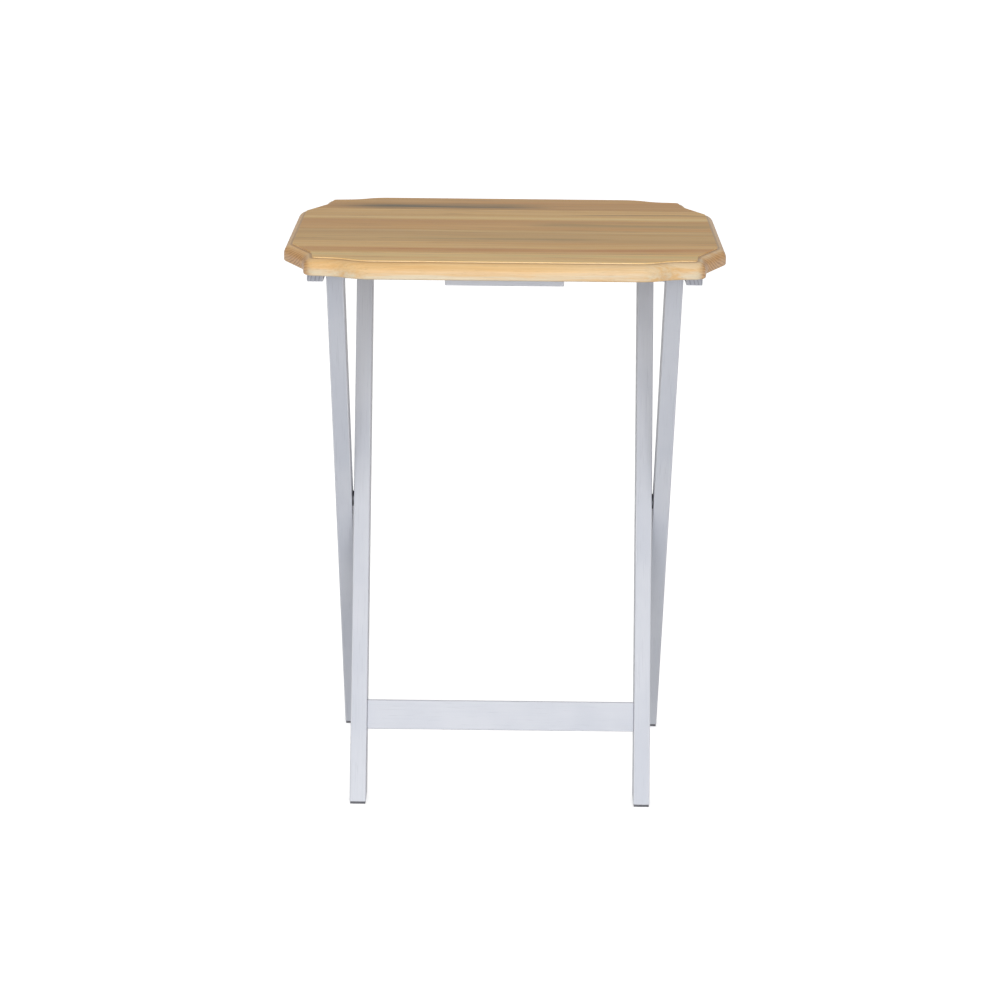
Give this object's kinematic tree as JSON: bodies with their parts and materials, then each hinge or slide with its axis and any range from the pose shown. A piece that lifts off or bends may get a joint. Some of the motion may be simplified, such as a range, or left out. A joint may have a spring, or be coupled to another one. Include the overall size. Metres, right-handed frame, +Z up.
{
  "type": "folding tray table",
  "caption": "Folding tray table: a moulded natural-wood top with ogee corners on two crossed, white-painted leg frames that fold flat with the top.",
  "frame": {"origin": "on the floor, under the middle of the tabletop", "axes": "+Z up; +Y from the front to the back; +X to the right as seen from the front"},
  "size_m": [0.482, 0.381, 0.66],
  "materials": {
    "clear_wood": "clear satin lacquer over natural pale wood",
    "painted_wood": "white satin paint on wood",
    "steel": "zinc-plated steel",
    "glide_plastic": "matt dark grey plastic"
  },
  "bodies": {
    "outer_frame": {"outer_leg_left": "painted_wood", "outer_leg_right": "painted_wood", "outer_top_dowel": "painted_wood", "hinge_bolt_left": "steel", "hinge_bolt_right": "steel", "hinge_washer_left": "steel", "hinge_washer_right": "steel", "glide_outer_left": "glide_plastic", "glide_outer_right": "glide_plastic"},
    "inner_frame": {"inner_leg_left": "painted_wood", "inner_leg_right": "painted_wood", "inner_top_dowel": "painted_wood", "front_stretcher": "painted_wood", "stretcher_screws": "steel", "cross_bolt_left": "steel", "cross_bolt_right": "steel", "cross_nut_left": "steel", "cross_nut_right": "steel", "cross_washer_left": "steel", "cross_washer_right": "steel", "glide_inner_left": "glide_plastic", "glide_inner_right": "glide_plastic"},
    "top": {"top_board_1": "clear_wood", "top_board_2": "clear_wood", "top_board_3": "clear_wood", "top_board_4": "clear_wood", "top_board_5": "clear_wood", "top_board_6": "clear_wood", "cleat_left": "painted_wood", "cleat_right": "painted_wood", "cleat_screws": "steel", "hang_block": "painted_wood", "block_screws": "steel", "catch_left": "painted_wood", "catch_right": "painted_wood", "catch_screws": "steel"}
  },
  "joints": [
    {"name": "leg_fold", "type": "hinge", "parent": "outer_frame", "child": "inner_frame", "pos_m": [0, 0.029, 0.331], "axis": [1, 0, 0], "range_deg": [0, 36.6]},
    {"name": "top_swing", "type": "hinge", "parent": "outer_frame", "child": "top", "pos_m": [0, -0.08031, 0.6265], "axis": [1, 0, 0], "range_deg": [0, 110.3]}
  ],
  "couplings": [
    {"joint": "top_swing", "follows": "leg_fold", "ratio": 3.0136}
  ]
}
